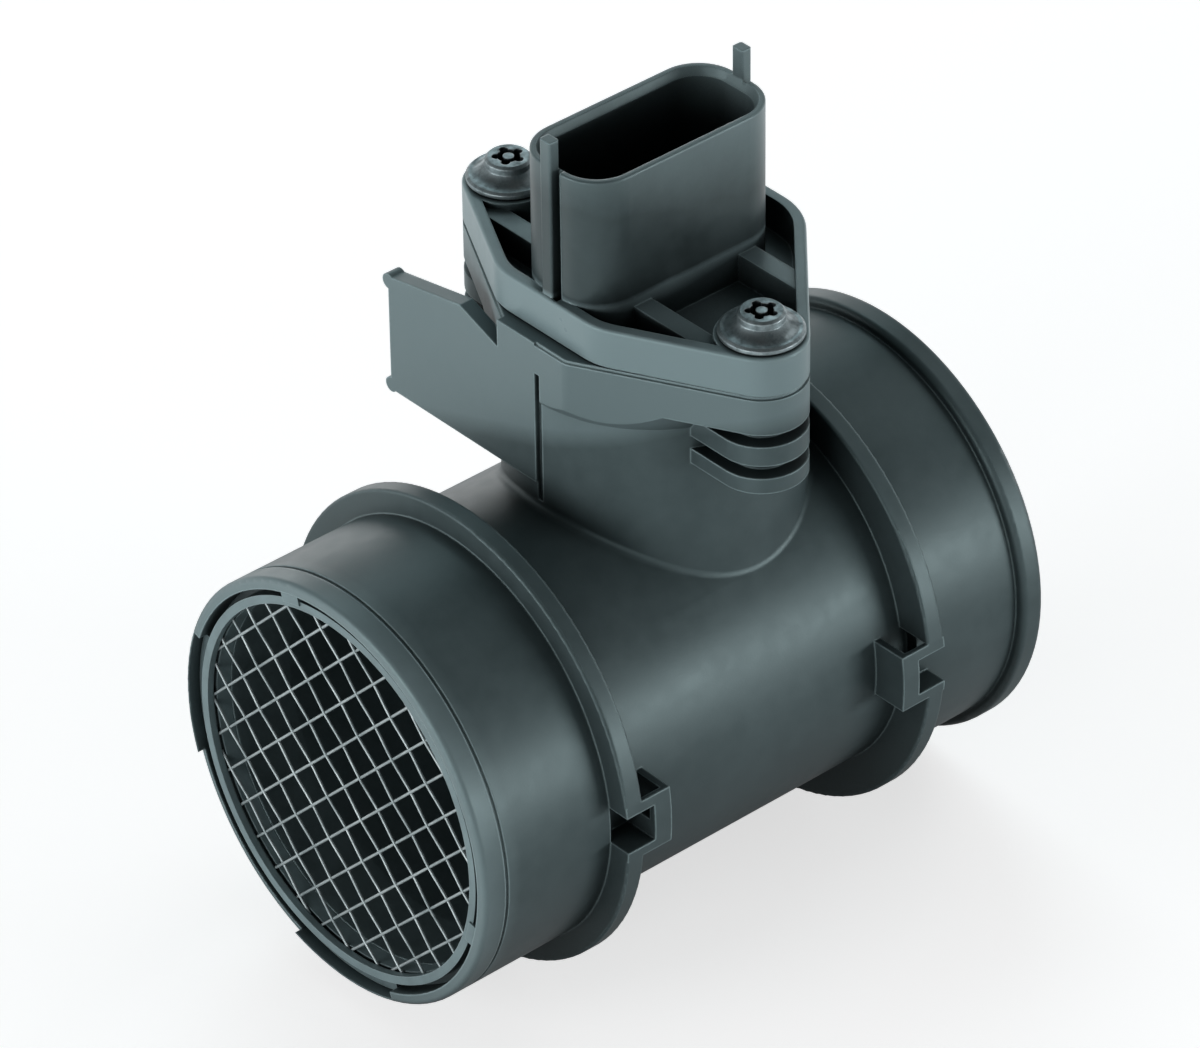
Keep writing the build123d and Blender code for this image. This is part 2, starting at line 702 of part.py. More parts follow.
# ---- circuit_board and what is soldered to it ---------------------------------------------
board_t = 0.7
board_z = carrier_z + 3.3
board_h = carrier_h - 4.5
board_w = 9.8
board_face = plate_y - board_t

with BuildPart() as circuit_board:
    with Locations((board_x, plate_y, board_z)):
        Box(board_w, board_t, board_h, align=(Align.CENTER, Align.MAX, Align.MIN))
circuit_board.part.label = "circuit_board"
export_step(circuit_board.part, "parts/circuit_board.step")

components = (
    {"name": "signal_chip", "x": -1.6, "z": 11.0, "size": (4.6, 1.0, 4.6)},
    {"name": "supply_chip", "x": 2.7, "z": 14.0, "size": (3.0, 0.9, 2.6)},
    {"name": "capacitor_1", "x": 3.2, "z": 9.0, "size": (1.3, 1.1, 2.0)},
    {"name": "capacitor_2", "x": -3.4, "z": 4.6, "size": (2.0, 1.1, 1.3)},
    {"name": "trim_resistor", "x": 1.6, "z": 4.4, "size": (3.2, 0.6, 1.6)},
)
for component in components:
    with BuildPart() as chip:
        with Locations((board_x + component["x"], board_face, board_z + component["z"])):
            Box(*component["size"], align=(Align.CENTER, Align.MAX, Align.CENTER))
    chip.part.label = component["name"]
    export_step(chip.part, f"parts/{component['name']}.step")

# ---- screws with a pinned five-lobe recess, and their threaded inserts --------------------
head_r = 5.6
head_edge = 0.8
head_round = 0.35
cone_r = 4.8
cone_arc = 3.0
point = 0.5
hub_r = 3.1
hub_z = 2.3
head_h = 3.5
screw_r = 2.0
screw_len = 13.5
socket_r = 1.55
lobe_r = 0.6
lobe_at = 1.6
socket_depth = 2.0
pin_r = 0.75

for side, y in (("left", screw_y), ("right", -screw_y)):
    axis = Axis((screw_x, y, 0), (0, 0, 1))
    with BuildPart() as screw:
        with BuildSketch(Plane.XZ.offset(-y)):
            with BuildLine():
                Polyline(
                    (screw_x, plate_top - screw_len),
                    (screw_x + screw_r - point, plate_top - screw_len),
                    (screw_x + screw_r, plate_top - screw_len + point),
                    (screw_x + screw_r, plate_top),
                    (screw_x + head_r - head_round, plate_top),
                    (screw_x + head_r, plate_top + head_round),
                    (screw_x + head_r, plate_top + head_edge),
                    (screw_x + head_r - head_round, plate_top + head_edge + head_round),
                    (screw_x + cone_r, plate_top + head_edge + head_round),
                )
                RadiusArc(
                    (screw_x + cone_r, plate_top + head_edge + head_round),
                    (screw_x + hub_r, plate_top + hub_z),
                    cone_arc,
                )
                Polyline(
                    (screw_x + hub_r, plate_top + hub_z),
                    (screw_x + hub_r, plate_top + head_h - head_round),
                    (screw_x + hub_r - head_round, plate_top + head_h),
                    (screw_x, plate_top + head_h),
                    (screw_x, plate_top - screw_len),
                )
            make_face()
        revolve(axis=axis)
        with BuildSketch(Plane.XY.offset(plate_top + head_h)):
            with Locations((screw_x, y)):
                Circle(socket_r)
                with PolarLocations(lobe_at, 5):
                    Circle(lobe_r)
                Circle(pin_r, mode=Mode.SUBTRACT)
        extrude(amount=-socket_depth, mode=Mode.SUBTRACT)
    screw.part.label = f"{side}_screw"
    export_step(screw.part, f"parts/{side}_screw.step")
    with BuildPart() as insert:
        with Locations((screw_x, y, flange_top - insert_len)):
            Cylinder(insert_r, insert_len, align=(Align.CENTER, Align.CENTER, Align.MIN))
            Cylinder(screw_r + 0.05, insert_len, align=(Align.CENTER, Align.CENTER, Align.MIN),
                     mode=Mode.SUBTRACT)
    insert.part.label = f"{side}_insert"
    export_step(insert.part, f"parts/{side}_insert.step")
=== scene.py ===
from math import cos, pi, radians, sin, sqrt

import bmesh
import bpy
from mathutils import Matrix, Vector


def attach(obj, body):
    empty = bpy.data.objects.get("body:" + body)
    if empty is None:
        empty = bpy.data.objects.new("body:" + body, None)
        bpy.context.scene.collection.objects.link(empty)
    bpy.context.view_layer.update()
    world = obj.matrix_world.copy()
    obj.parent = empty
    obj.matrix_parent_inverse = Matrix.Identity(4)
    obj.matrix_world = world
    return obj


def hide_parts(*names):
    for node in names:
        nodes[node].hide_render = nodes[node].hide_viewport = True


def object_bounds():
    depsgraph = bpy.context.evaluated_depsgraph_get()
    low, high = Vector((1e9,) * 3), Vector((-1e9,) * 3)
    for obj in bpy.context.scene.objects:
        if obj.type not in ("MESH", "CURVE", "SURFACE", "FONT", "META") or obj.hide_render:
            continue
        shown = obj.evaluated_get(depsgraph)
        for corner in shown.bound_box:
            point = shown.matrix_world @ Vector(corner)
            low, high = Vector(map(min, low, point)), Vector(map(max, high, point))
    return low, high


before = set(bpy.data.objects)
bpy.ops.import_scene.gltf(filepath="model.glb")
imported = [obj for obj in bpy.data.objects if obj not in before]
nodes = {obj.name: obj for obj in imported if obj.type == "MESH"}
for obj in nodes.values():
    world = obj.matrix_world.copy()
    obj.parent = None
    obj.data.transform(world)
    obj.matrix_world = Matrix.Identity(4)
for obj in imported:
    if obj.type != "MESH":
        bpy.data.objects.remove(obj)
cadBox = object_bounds()
mm = 0.001
print("frame loaded:", len(nodes), "nodes")

# camera first: where it stands, as angles round the target
view = {
    "azimuth": -40.945,
    "elevation": 35.274,
    "roll": -0.766,
    "distance": 1.028165,
    "target": (0.068768, 0.026363, -0.004317),
    "lens": 227.94,
    "sensor": 36.0,
}


def aim(azimuth, elevation):
    a, e = radians(azimuth), radians(elevation)
    back = Vector((sin(a) * cos(e), -cos(a) * cos(e), sin(e)))
    return back, Vector((cos(a), sin(a), 0))


def placeCamera(view):
    back, level = aim(view["azimuth"], view["elevation"])
    turn = radians(view["roll"])
    right = level * cos(turn) + back.cross(level) * sin(turn)
    data = bpy.data.cameras.new("camera")
    data.lens = view["lens"]
    data.sensor_width = view["sensor"]
    data.sensor_fit = "HORIZONTAL"
    data.clip_start, data.clip_end = 0.05, 20
    camera = bpy.data.objects.new("camera", data)
    camera.matrix_world = Matrix((right, back.cross(right), back)).transposed().to_4x4()
    camera.location = Vector(view["target"]) + back * view["distance"]
    bpy.context.scene.collection.objects.link(camera)
    bpy.context.scene.camera = camera


placeCamera(view)
print("camera placed")


# short ways to add shader nodes
def newGroup(name, inputs, outputs):
    tree = bpy.data.node_groups.new(name, "ShaderNodeTree")
    for socket, kind, value in inputs:
        made = tree.interface.new_socket(name=socket, in_out="INPUT", socket_type=kind)
        if value is not None:
            made.default_value = value
    for socket, kind in outputs:
        tree.interface.new_socket(name=socket, in_out="OUTPUT", socket_type=kind)
    return tree, tree.nodes.new("NodeGroupInput"), tree.nodes.new("NodeGroupOutput")


def noise(tree, vector, scale, detail=2.0, roughness=0.5):
    node = tree.nodes.new("ShaderNodeTexNoise")
    node.inputs["Detail"].default_value = detail
    node.inputs["Roughness"].default_value = roughness
    tree.links.new(vector, node.inputs["Vector"])
    if isinstance(scale, (int, float)):
        node.inputs["Scale"].default_value = scale
    else:
        tree.links.new(scale, node.inputs["Scale"])
    return node.outputs["Fac"]


def remap(tree, value, low, high, toLow=0.0, toHigh=1.0):
    node = tree.nodes.new("ShaderNodeMapRange")
    node.clamp = True
    tree.links.new(value, node.inputs["Value"])
    for socket, bound in (("From Min", low), ("From Max", high), ("To Min", toLow), ("To Max", toHigh)):
        if isinstance(bound, (int, float)):
            node.inputs[socket].default_value = bound
        else:
            tree.links.new(bound, node.inputs[socket])
    return node.outputs["Result"]


def mathNode(tree, operation, first, second):
    node = tree.nodes.new("ShaderNodeMath")
    node.operation = operation
    for socket, value in zip(node.inputs, (first, second)):
        if isinstance(value, (int, float)):
            socket.default_value = value
        else:
            tree.links.new(value, socket)
    return node.outputs["Value"]


def blendColors(tree, factor, first, second):
    node = tree.nodes.new("ShaderNodeMix")
    node.data_type = "RGBA"
    colorInputs = [socket for socket in node.inputs if socket.type == "RGBA"]
    tree.links.new(factor, node.inputs["Factor"])
    tree.links.new(first, colorInputs[0])
    tree.links.new(second, colorInputs[1])
    return next(socket for socket in node.outputs if socket.type == "RGBA")


# soft studio light: each lamp's angle round the part, its size and its share of a full light
studio = {
    "centre": (0.048, 0.0, 0.015),
    "lamps": {
        "rightSoftbox": {"azimuth": 35, "elevation": 4, "size": (0.7, 0.28), "share": 0.46},
        "leftSoftbox": {"azimuth": -110, "elevation": 8, "size": (0.7, 0.5), "share": 0.42},
        "frontFill": {"azimuth": -75, "elevation": 8, "size": (0.6, 0.5), "share": 0.30},
        "backSoftbox": {"azimuth": 150, "elevation": 45, "size": (0.8, 0.6), "share": 0.17,
                        "tint": (0.82, 0.97, 1.0)},
        "sideSoftbox": {"azimuth": 90, "elevation": 45, "size": (0.7, 0.6), "share": 0.08},
        "lowBackRim": {"azimuth": 145, "elevation": 9, "size": (0.7, 0.4), "share": 0.07},
    },
    "lampDistance": 1.4,
    "ambient": 0.12,            # what the surroundings add to a matt surface
    "ceiling": 0.05,            # what gloss meets overhead, while the horizon is white
    "horizonEnds": (0.10, 0.60),
    "floorRadius": 4.0,
    "floorColor": (0.86, 0.865, 0.87, 1),
    "floorRoughness": 0.9,
    "floorSpecular": 0.1,
    "floorLift": 0.62,          # glow of the floor for the camera
    "floorGlow": (0.06, 1.0),   # and for gloss and glass, beside the object and away from it
    "glowReach": (0.12, 0.26),
    "glowInlet": (0.0, -0.06),  # on the inlet's side it starts nearer
}


def lightStudio(studio):
    scene = bpy.context.scene
    scene.view_settings.view_transform = "Standard"
    for name, lamp in studio["lamps"].items():
        back, level = aim(lamp["azimuth"], lamp["elevation"])
        data = bpy.data.lights.new(name, "AREA")
        data.shape = "RECTANGLE"
        data.size, data.size_y = lamp["size"]
        data.energy = lamp["share"] * (pi * studio["lampDistance"]) ** 2  # a share of 1 lights a face fully
        data.color = lamp.get("tint", (1, 1, 1))
        light = bpy.data.objects.new(name, data)
        light.matrix_world = Matrix((level, back.cross(level), back)).transposed().to_4x4()
        light.location = Vector(studio["centre"]) + back * studio["lampDistance"]
        scene.collection.objects.link(light)
    world = bpy.data.worlds.new("studio")
    scene.world = world
    world.use_nodes = True
    tree = world.node_tree
    tree.nodes.clear()
    path = tree.nodes.new("ShaderNodeLightPath")
    place = tree.nodes.new("ShaderNodeTexCoord")
    split = tree.nodes.new("ShaderNodeSeparateXYZ")
    tree.links.new(place.outputs["Generated"], split.inputs["Vector"])
    horizonStart, horizonEnd = studio["horizonEnds"]
    surround = remap(tree, split.outputs["Z"], horizonStart, horizonEnd, 1.0, studio["ceiling"])
    shine = mathNode(tree, "MAXIMUM", path.outputs["Is Glossy Ray"], path.outputs["Is Transmission Ray"])
    strength = remap(tree, shine, 0.0, 1.0, studio["ambient"], surround)
    strength = remap(tree, path.outputs["Is Camera Ray"], 0.0, 1.0, strength, 1.0)
    background = tree.nodes.new("ShaderNodeBackground")
    background.inputs["Color"].default_value = (1, 1, 1, 1)
    tree.links.new(strength, background.inputs["Strength"])
    output = tree.nodes.new("ShaderNodeOutputWorld")
    tree.links.new(background.outputs["Background"], output.inputs["Surface"])


def layFloor(studio, height):
    bm = bmesh.new()
    bmesh.ops.create_circle(bm, cap_ends=True, segments=64, radius=studio["floorRadius"])
    bmesh.ops.translate(bm, vec=(0, 0, height), verts=bm.verts)
    floor = finished("studio_floor", bm)
    material = bpy.data.materials.new("paleFloor")
    material.use_nodes = True
    tree = material.node_tree
    shader = tree.nodes["Principled BSDF"]
    shader.inputs["Base Color"].default_value = studio["floorColor"]
    shader.inputs["Roughness"].default_value = studio["floorRoughness"]
    shader.inputs["Specular IOR Level"].default_value = studio["floorSpecular"]
    shader.inputs["Emission Color"].default_value = (1, 1, 1, 1)
    path = tree.nodes.new("ShaderNodeLightPath")
    shine = mathNode(tree, "MAXIMUM", path.outputs["Is Glossy Ray"], path.outputs["Is Transmission Ray"])
    place = tree.nodes.new("ShaderNodeTexCoord")
    away = tree.nodes.new("ShaderNodeVectorMath")
    away.operation = "DISTANCE"
    tree.links.new(place.outputs["Object"], away.inputs[0])
    away.inputs[1].default_value = (studio["centre"][0], studio["centre"][1], height)
    split = tree.nodes.new("ShaderNodeSeparateXYZ")
    tree.links.new(place.outputs["Object"], split.inputs["Vector"])
    beyond = mathNode(
        tree, "MAXIMUM",
        remap(tree, away.outputs["Value"], *studio["glowReach"]),
        remap(tree, split.outputs["X"], *studio["glowInlet"]),
    )
    glow = mathNode(tree, "MULTIPLY", shine, remap(tree, beyond, 0.0, 1.0, *studio["floorGlow"]))
    lift = remap(tree, path.outputs["Is Camera Ray"], 0.0, 1.0, glow, studio["floorLift"])
    tree.links.new(lift, shader.inputs["Emission Strength"])
    floor.data.materials.append(material)


def finished(name, bm):
    mesh = bpy.data.meshes.new(name)
    bm.to_mesh(mesh)
    bm.free()
    piece = bpy.data.objects.new(name, mesh)
    bpy.context.scene.collection.objects.link(piece)
    return piece


lightStudio(studio)
layFloor(studio, cadBox[0].z)
print("studio lit")


# the skin of an injection moulding: fine tool grain, slow flow marks and a faint haze
skinPattern = {
    "flowRange": (0.3, 0.72),
    "patchScale": 420.0,
    "patchRange": (0.35, 0.7),
    "flowShare": 0.7,
    "patchShare": 0.3,
}


def makeMouldedSkin(pattern):
    tree, start, end = newGroup(
        "mouldedSkin",
        (
            ("Vector", "NodeSocketVector", None),
            ("Deep", "NodeSocketColor", (0.02, 0.02, 0.02, 1)),
            ("Lighter Tone", "NodeSocketColor", (0.04, 0.04, 0.04, 1)),
            ("Gloss", "NodeSocketFloat", 0.45),
            ("Gloss Spread", "NodeSocketFloat", 0.12),
            ("Grain Scale", "NodeSocketFloat", 3200.0),
            ("Flow Scale", "NodeSocketFloat", 60.0),
        ),
        (("Color", "NodeSocketColor"), ("Roughness", "NodeSocketFloat"), ("Height", "NodeSocketFloat")),
    )
    vector = start.outputs["Vector"]
    flow = remap(tree, noise(tree, vector, start.outputs["Flow Scale"], 4.0, 0.6), *pattern["flowRange"])
    grain = noise(tree, vector, start.outputs["Grain Scale"], 3.0, 0.65)
    patch = remap(tree, noise(tree, vector, pattern["patchScale"], 3.0), *pattern["patchRange"])
    flowPart = mathNode(tree, "MULTIPLY", flow, pattern["flowShare"])
    patchPart = mathNode(tree, "MULTIPLY", patch, pattern["patchShare"])
    shade = mathNode(tree, "ADD", flowPart, patchPart)
    color = blendColors(tree, shade, start.outputs["Deep"], start.outputs["Lighter Tone"])
    tree.links.new(color, end.inputs["Color"])
    spread = mathNode(tree, "MULTIPLY", mathNode(tree, "SUBTRACT", shade, 0.5), start.outputs["Gloss Spread"])
    tree.links.new(mathNode(tree, "ADD", spread, start.outputs["Gloss"]), end.inputs["Roughness"])
    tree.links.new(grain, end.inputs["Height"])
    return tree


# worked metal: fine lines drawn along one axis, with a dull bloom over them
metalPattern = {"bloomRange": (0.35, 0.68)}


def makeWorkedMetal(pattern):
    tree, start, end = newGroup(
        "workedMetal",
        (
            ("Vector", "NodeSocketVector", None),
            ("Bright", "NodeSocketColor", (0.7, 0.7, 0.7, 1)),
            ("Dull", "NodeSocketColor", (0.4, 0.4, 0.4, 1)),
            ("Gloss", "NodeSocketFloat", 0.3),
            ("Gloss Spread", "NodeSocketFloat", 0.2),
            ("Line Scale", "NodeSocketFloat", 2500.0),
            ("Bloom Scale", "NodeSocketFloat", 500.0),
        ),
        (("Color", "NodeSocketColor"), ("Roughness", "NodeSocketFloat"), ("Height", "NodeSocketFloat")),
    )
    vector = start.outputs["Vector"]
    bloom = remap(tree, noise(tree, vector, start.outputs["Bloom Scale"], 4.0, 0.6), *pattern["bloomRange"])
    lines = noise(tree, vector, start.outputs["Line Scale"])
    color = blendColors(tree, bloom, start.outputs["Bright"], start.outputs["Dull"])
    tree.links.new(color, end.inputs["Color"])
    spread = mathNode(tree, "MULTIPLY", bloom, start.outputs["Gloss Spread"])
    tree.links.new(mathNode(tree, "ADD", spread, start.outputs["Gloss"]), end.inputs["Roughness"])
    tree.links.new(lines, end.inputs["Height"])
    return tree


# edges rounded in the shading normal, a painted highlight lightening those edges in patches, and painted
# shade darkening corners where little light comes in
edgePattern = {
    "samples": 6,
    "leanRange": (0.99, 0.80),  # how far the rounded surface leans from the flat one
    "patchScale": 260.0,
    "patchRange": (0.3, 0.7),
    "patchLeast": 0.55,
    "openRange": (0.15, 0.8),
}


def makeEdgeHighlightAndCornerShade(pattern):
    tree, start, end = newGroup(
        "edgeHighlightAndCornerShade",
        (
            ("Color", "NodeSocketColor", (0.1, 0.1, 0.1, 1)),
            ("Edge", "NodeSocketColor", (0.2, 0.2, 0.2, 1)),
            ("Corner", "NodeSocketColor", (0.01, 0.01, 0.01, 1)),
            ("Radius", "NodeSocketFloat", 0.35 * mm),
            ("Corner Reach", "NodeSocketFloat", 7 * mm),
            ("Vector", "NodeSocketVector", None),
        ),
        (("Color", "NodeSocketColor"), ("Normal", "NodeSocketVector")),
    )
    rounded = tree.nodes.new("ShaderNodeBevel")
    rounded.samples = pattern["samples"]
    tree.links.new(start.outputs["Radius"], rounded.inputs["Radius"])
    surface = tree.nodes.new("ShaderNodeNewGeometry")
    lean = tree.nodes.new("ShaderNodeVectorMath")
    lean.operation = "DOT_PRODUCT"
    tree.links.new(rounded.outputs["Normal"], lean.inputs[0])
    tree.links.new(surface.outputs["Normal"], lean.inputs[1])
    patches = noise(tree, start.outputs["Vector"], pattern["patchScale"], 4.0, 0.6)
    patchy = remap(tree, patches, *pattern["patchRange"], pattern["patchLeast"], 1.0)
    # painted shade: ambient occlusion blends corners and recesses towards the Corner colour
    shade = tree.nodes.new("ShaderNodeAmbientOcclusion")
    shade.samples = pattern["samples"]
    tree.links.new(start.outputs["Corner Reach"], shade.inputs["Distance"])
    openness = remap(tree, shade.outputs["AO"], *pattern["openRange"])
    highlightPatches = mathNode(tree, "MULTIPLY", patchy, openness)
    # painted highlight: rounded edges blend towards the Edge colour, in patches and only where open
    onEdge = remap(tree, lean.outputs["Value"], *pattern["leanRange"])
    mask = mathNode(tree, "MULTIPLY", onEdge, highlightPatches)
    color = blendColors(tree, openness, start.outputs["Corner"], start.outputs["Color"])
    tree.links.new(blendColors(tree, mask, color, start.outputs["Edge"]), end.inputs["Color"])
    tree.links.new(rounded.outputs["Normal"], end.inputs["Normal"])
    return tree


# painted light: a lighter tone that rises along one direction, with a ragged border, standing in for light
# falling on that side
lightPatchPattern = {"cloudScale": 180.0}


def makePaintedLightPatch(pattern):
    tree, start, end = newGroup(
        "paintedLightPatch",
        (
            ("Vector", "NodeSocketVector", None),
            ("Color", "NodeSocketColor", (0.1, 0.1, 0.1, 1)),
            ("Lighter Tone", "NodeSocketColor", (0.2, 0.2, 0.2, 1)),
            ("Direction", "NodeSocketVector", (0, 0, 1)),
            ("From", "NodeSocketFloat", 0.0),
            ("Full", "NodeSocketFloat", 0.01),
            ("Ragged", "NodeSocketFloat", 0.6 * mm),
        ),
        (("Color", "NodeSocketColor"),),
    )
    along = tree.nodes.new("ShaderNodeVectorMath")
    along.operation = "DOT_PRODUCT"
    tree.links.new(start.outputs["Vector"], along.inputs[0])
    tree.links.new(start.outputs["Direction"], along.inputs[1])
    clouds = noise(tree, start.outputs["Vector"], pattern["cloudScale"], 4.0, 0.6)
    cloud = mathNode(tree, "SUBTRACT", clouds, 0.5)
    ragged = mathNode(tree, "MULTIPLY", cloud, start.outputs["Ragged"])
    reach = mathNode(tree, "ADD", along.outputs["Value"], ragged)
    mask = remap(tree, reach, start.outputs["From"], start.outputs["Full"])
    color = blendColors(tree, mask, start.outputs["Color"], start.outputs["Lighter Tone"])
    tree.links.new(color, end.inputs["Color"])
    return tree


mouldedSkin = makeMouldedSkin(skinPattern)
workedMetal = makeWorkedMetal(metalPattern)
edgeHighlightAndCornerShade = makeEdgeHighlightAndCornerShade(edgePattern)
paintedLightPatch = makePaintedLightPatch(lightPatchPattern)


def makeFinish(name, group, look):
    material = bpy.data.materials.new(name)
    material.use_nodes = True
    tree = material.node_tree
    shader = tree.nodes["Principled BSDF"]
    place = tree.nodes.new("ShaderNodeTexCoord")
    mapping = tree.nodes.new("ShaderNodeMapping")
    mapping.inputs["Scale"].default_value = look.get("stretch", (1, 1, 1))
    tree.links.new(place.outputs["Object"], mapping.inputs["Vector"])
    skin = tree.nodes.new("ShaderNodeGroup")
    skin.node_tree = group
    tree.links.new(mapping.outputs["Vector"], skin.inputs["Vector"])
    for socket, value in look["skin"].items():
        skin.inputs[socket].default_value = value
    for socket, value in look["shader"].items():
        shader.inputs[socket].default_value = value
    color = skin.outputs["Color"]
    # painted light: lighter patches laid over the skin colour where light falls
    for patch in look.get("paintedLight", ()):
        paintedLight = tree.nodes.new("ShaderNodeGroup")
        paintedLight.node_tree = paintedLightPatch
        tree.links.new(mapping.outputs["Vector"], paintedLight.inputs["Vector"])
        tree.links.new(color, paintedLight.inputs["Color"])
        for socket, value in patch.items():
            paintedLight.inputs[socket].default_value = value
        color = paintedLight.outputs["Color"]
    tree.links.new(skin.outputs["Roughness"], shader.inputs["Roughness"])
    bump = tree.nodes.new("ShaderNodeBump")
    # painted edge highlight and painted corner shade laid over the colour
    if "edges" in look:
        edges = tree.nodes.new("ShaderNodeGroup")
        edges.node_tree = edgeHighlightAndCornerShade
        tree.links.new(mapping.outputs["Vector"], edges.inputs["Vector"])
        tree.links.new(color, edges.inputs["Color"])
        for socket, value in look["edges"].items():
            edges.inputs[socket].default_value = value
        color = edges.outputs["Color"]
        tree.links.new(edges.outputs["Normal"], bump.inputs["Normal"])
    tree.links.new(color, shader.inputs["Base Color"])
    bump.inputs["Strength"].default_value = look["bump"]
    bump.inputs["Distance"].default_value = look["depth"]
    tree.links.new(skin.outputs["Height"], bump.inputs["Height"])
    tree.links.new(bump.outputs["Normal"], shader.inputs["Normal"])
    return material


def wear(material, *names):
    for name in names:
        piece = nodes[name]
        if not piece.material_slots:
            piece.data.materials.append(material)
        for slot in piece.material_slots:
            slot.material = material


tealShine = (0.72, 0.97, 1.0, 1)
housingLook = {
    "skin": {
        "Deep": (0.050, 0.071, 0.075, 1),
        "Lighter Tone": (0.074, 0.102, 0.108, 1),
        "Gloss": 0.42,
        "Gloss Spread": 0.14,
        "Grain Scale": 3600.0,
        "Flow Scale": 55.0,
    },
    # painted light: the housing's top and the inlet lip's front are made lighter where light falls
    "paintedLight": (
        {"Lighter Tone": (0.135, 0.185, 0.195, 1), "Direction": (0, 0.35, 1), "From": 37.5 * mm, "Full": 40.5 * mm},
        {"Lighter Tone": (0.135, 0.185, 0.195, 1), "Direction": (-1, 0, 0), "From": -6 * mm, "Full": -0.5 * mm,
         "Ragged": 3 * mm},
    ),
    # painted highlight on the edges, and painted shade reaching 45 mm into corners and recesses
    "edges": {"Edge": (0.42, 0.56, 0.585, 1), "Corner": (0.004, 0.0055, 0.006, 1), "Radius": 0.45 * mm,
              "Corner Reach": 45 * mm},
    "shader": {"Specular IOR Level": 0.42, "Specular Tint": tealShine},
    "bump": 0.35,
    "depth": 0.03 * mm,
}
probeLook = {
    # the probe's skin is darker than the housing's: painted shade on the socket's broad faces
    "skin": {
        "Deep": (0.024, 0.034, 0.036, 1),
        "Lighter Tone": (0.040, 0.055, 0.058, 1),
        "Gloss": 0.34,
        "Gloss Spread": 0.14,
        "Grain Scale": 4000.0,
        "Flow Scale": 80.0,
    },
    # painted light: everything below the plate's top, and the socket's upper part, are made lighter where
    # light falls
    "paintedLight": (
        {"Lighter Tone": (0.19, 0.26, 0.275, 1), "Direction": (0, 0, -1), "From": -60.2 * mm, "Full": -59.4 * mm},
        {"Lighter Tone": (0.13, 0.178, 0.187, 1), "Direction": (0.25, 0, 1), "From": 83 * mm, "Full": 94 * mm,
         "Ragged": 4 * mm},
    ),
    # painted highlight on the edges, and painted shade in corners and recesses
    "edges": {"Edge": (0.42, 0.56, 0.585, 1), "Corner": (0.003, 0.004, 0.0045, 1), "Radius": 0.4 * mm,
              "Corner Reach": 24 * mm},
    "shader": {"Specular IOR Level": 0.42, "Specular Tint": tealShine},
    "bump": 0.3,
    "depth": 0.03 * mm,
}
ringLook = {
    # the ring's skin is a lighter copy of the housing's plastic: painted light on its front
    "skin": {
        "Deep": (0.12, 0.165, 0.175, 1),
        "Lighter Tone": (0.19, 0.26, 0.275, 1),
        "Gloss": 0.42,
        "Gloss Spread": 0.1,
        "Grain Scale": 3600.0,
        "Flow Scale": 120.0,
    },
    # painted highlight on the edges, and painted shade in corners
    "edges": {"Edge": (0.36, 0.47, 0.49, 1), "Corner": (0.02, 0.026, 0.028, 1), "Radius": 0.2 * mm},
    "shader": {"Specular IOR Level": 0.42, "Specular Tint": tealShine},
    "bump": 0.3,
    "depth": 0.03 * mm,
}
wireLook = {
    "skin": {
        "Bright": (0.40, 0.46, 0.47, 1),
        "Dull": (0.22, 0.27, 0.28, 1),
        "Gloss": 0.45,
        "Gloss Spread": 0.2,
        "Line Scale": 3000.0,
        "Bloom Scale": 300.0,
    },
    "shader": {"Metallic": 0.5},
    "bump": 0.2,
    "depth": 0.01 * mm,
}
screwLook = {
    "skin": {
        "Bright": (0.26, 0.315, 0.33, 1),
        "Dull": (0.10, 0.13, 0.138, 1),
        "Gloss": 0.34,
        "Gloss Spread": 0.22,
        "Line Scale": 2600.0,
        "Bloom Scale": 700.0,
    },
    # painted highlight on the edges, and painted shade in the drive recess
    "edges": {"Edge": (0.35, 0.40, 0.41, 1), "Corner": (0.01, 0.012, 0.013, 1), "Radius": 0.2 * mm,
              "Corner Reach": 2.5 * mm},
    "shader": {"Metallic": 0.9},
    "bump": 0.25,
    "depth": 0.02 * mm,
}
sealLook = {
    "skin": {
        "Deep": (0.012, 0.012, 0.013, 1),
        "Lighter Tone": (0.03, 0.03, 0.031, 1),
        "Gloss": 0.5,
        "Gloss Spread": 0.2,
        "Grain Scale": 2500.0,
        "Flow Scale": 300.0,
    },
    "shader": {"Specular IOR Level": 0.4},
    "bump": 0.3,
    "depth": 0.02 * mm,
}
brassLook = {
    "skin": {
        "Bright": (0.72, 0.52, 0.22, 1),
        "Dull": (0.45, 0.31, 0.13, 1),
        "Gloss": 0.25,
        "Gloss Spread": 0.2,
    },
    "shader": {"Metallic": 1.0},
    "stretch": (1, 1, 8),
    "bump": 0.3,
    "depth": 0.02 * mm,
}
plateLook = {
    "skin": {
        "Bright": (0.75, 0.76, 0.77, 1),
        "Dull": (0.5, 0.51, 0.52, 1),
        "Gloss": 0.3,
        "Gloss Spread": 0.15,
    },
    "shader": {"Metallic": 1.0},
    "stretch": (6, 1, 1),
    "bump": 0.3,
    "depth": 0.02 * mm,
}
terminalLook = {
    "skin": {
        "Bright": (0.70, 0.70, 0.66, 1),
        "Dull": (0.48, 0.48, 0.45, 1),
        "Gloss": 0.25,
        "Gloss Spread": 0.15,
    },
    "shader": {"Metallic": 1.0},
    "stretch": (6, 6, 1),
    "bump": 0.2,
    "depth": 0.01 * mm,
}
boardLook = {
    "skin": {
        "Deep": (0.62, 0.63, 0.60, 1),
        "Lighter Tone": (0.74, 0.75, 0.73, 1),
        "Gloss": 0.35,
        "Gloss Spread": 0.1,
    },
    "shader": {"Specular IOR Level": 0.5},
    "bump": 0.2,
    "depth": 0.01 * mm,
}
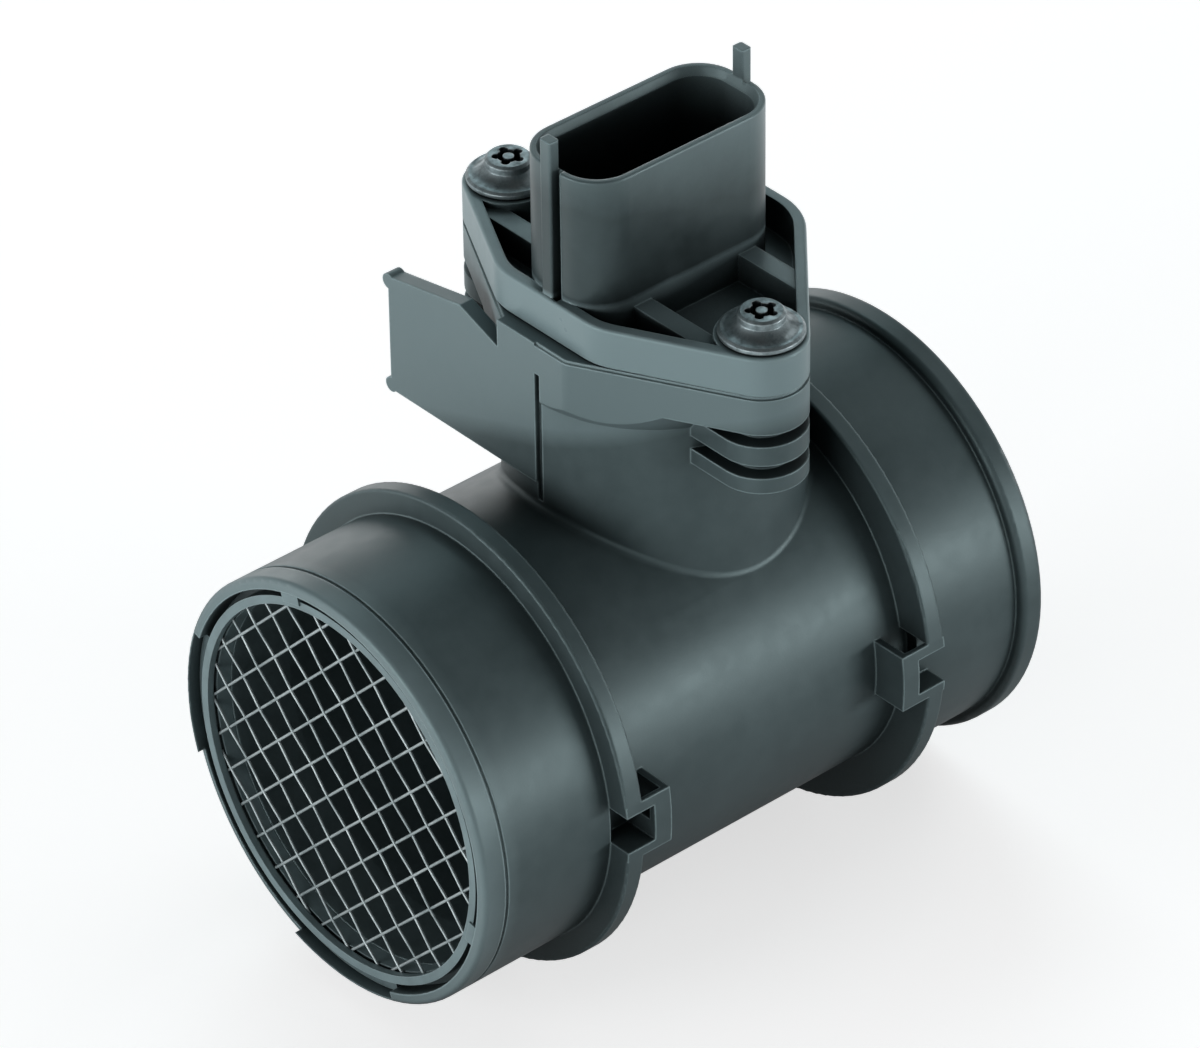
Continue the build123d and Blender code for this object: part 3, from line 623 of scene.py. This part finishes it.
componentLook = {
    "skin": {
        "Deep": (0.012, 0.012, 0.013, 1),
        "Lighter Tone": (0.03, 0.03, 0.032, 1),
        "Gloss": 0.5,
        "Gloss Spread": 0.1,
    },
    "shader": {"Specular IOR Level": 0.5},
    "bump": 0.3,
    "depth": 0.01 * mm,
}
glassLook = {
    "skin": {
        "Deep": (0.02, 0.04, 0.09, 1),
        "Lighter Tone": (0.06, 0.10, 0.18, 1),
        "Gloss": 0.08,
        "Gloss Spread": 0.05,
    },
    "shader": {"Coat Weight": 0.6},
    "bump": 0.05,
    "depth": 0.01 * mm,
}
beadLook = {
    "skin": {
        "Deep": (0.05, 0.03, 0.015, 1),
        "Lighter Tone": (0.12, 0.08, 0.04, 1),
        "Gloss": 0.12,
        "Gloss Spread": 0.08,
    },
    "shader": {"Coat Weight": 0.5},
    "bump": 0.1,
    "depth": 0.01 * mm,
}

wear(makeFinish("mouldedHousing", mouldedSkin, housingLook), "tube_housing")
wear(makeFinish("mouldedProbe", mouldedSkin, probeLook), "sensor_body", "electronics_cover", "bypass_cover")
wear(makeFinish("litMouldedRing", mouldedSkin, ringLook), "grille_ring")
wear(makeFinish("darkZinc", workedMetal, screwLook), "left_screw", "right_screw")
wear(makeFinish("sealRubber", mouldedSkin, sealLook), "seal_ring")
wear(makeFinish("turnedBrass", workedMetal, brassLook), "left_insert", "right_insert")
wear(makeFinish("rolledPlate", workedMetal, plateLook), "carrier_plate")
wear(makeFinish("tinnedTerminal", workedMetal, terminalLook), "temperature_lead_1", "temperature_lead_2",
     *(f"terminal_{number}" for number in range(1, 6)))
wear(makeFinish("firedCeramic", mouldedSkin, boardLook), "circuit_board")
wear(makeFinish("potting", mouldedSkin, componentLook), "signal_chip", "supply_chip", "capacitor_1",
     "capacitor_2", "trim_resistor")
wear(makeFinish("chipGlass", mouldedSkin, glassLook), "sensor_chip")
wear(makeFinish("beadGlaze", mouldedSkin, beadLook), "temperature_bead")
print("finishes on the CAD pieces")

# the grille: round wires woven over and under each other
grille = {
    "centreX": 1.875 * mm,
    "reach": 26.6 * mm,
    "pitch": 4.73 * mm,
    "count": 11,
    "wireRadius": 0.2 * mm,
    "weave": 0.12 * mm,
    "endClear": 0.4 * mm,  # no bend closer than this to a wire's end
    "crossingReach": 0.1 * mm,
}


def weaveGrille(grille):
    curve = bpy.data.curves.new("woven_grille", "CURVE")
    curve.dimensions = "3D"
    curve.bevel_depth = grille["wireRadius"]
    curve.bevel_resolution = 2
    curve.resolution_u = 3
    half = grille["count"] // 2
    for turn, phase in ((radians(45), 1), (radians(135), -1)):
        along = Vector((0, cos(turn), sin(turn)))
        across = Vector((0, -sin(turn), cos(turn)))
        for line in range(-half, half + 1):
            offset = line * grille["pitch"]
            reach = sqrt(grille["reach"] ** 2 - offset ** 2)
            stops = [k * grille["pitch"] / 2 for k in range(-2 * half - 1, 2 * half + 2)]
            stops = [-reach] + [stop for stop in stops if abs(stop) < reach - grille["endClear"]] + [reach]
            spline = curve.splines.new("NURBS")
            spline.points.add(len(stops) - 1)
            for point, stop in zip(spline.points, stops):
                crossing = round(stop / grille["pitch"])
                onCrossing = abs(stop - crossing * grille["pitch"]) < grille["crossingReach"]
                lift = phase * (-1) ** (crossing + line) * grille["weave"] if onCrossing else 0
                spot = along * stop + across * offset + Vector((grille["centreX"] + lift, 0, 0))
                point.co = (*spot, 1)
            spline.order_u = 3
            spline.use_endpoint_u = True
    woven = bpy.data.objects.new("woven_grille", curve)
    bpy.context.scene.collection.objects.link(woven)
    curve.materials.append(makeFinish("drawnWire", workedMetal, wireLook))
    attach(woven, "root")
    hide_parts("wire_grille")


weaveGrille(grille)
print("grille woven")
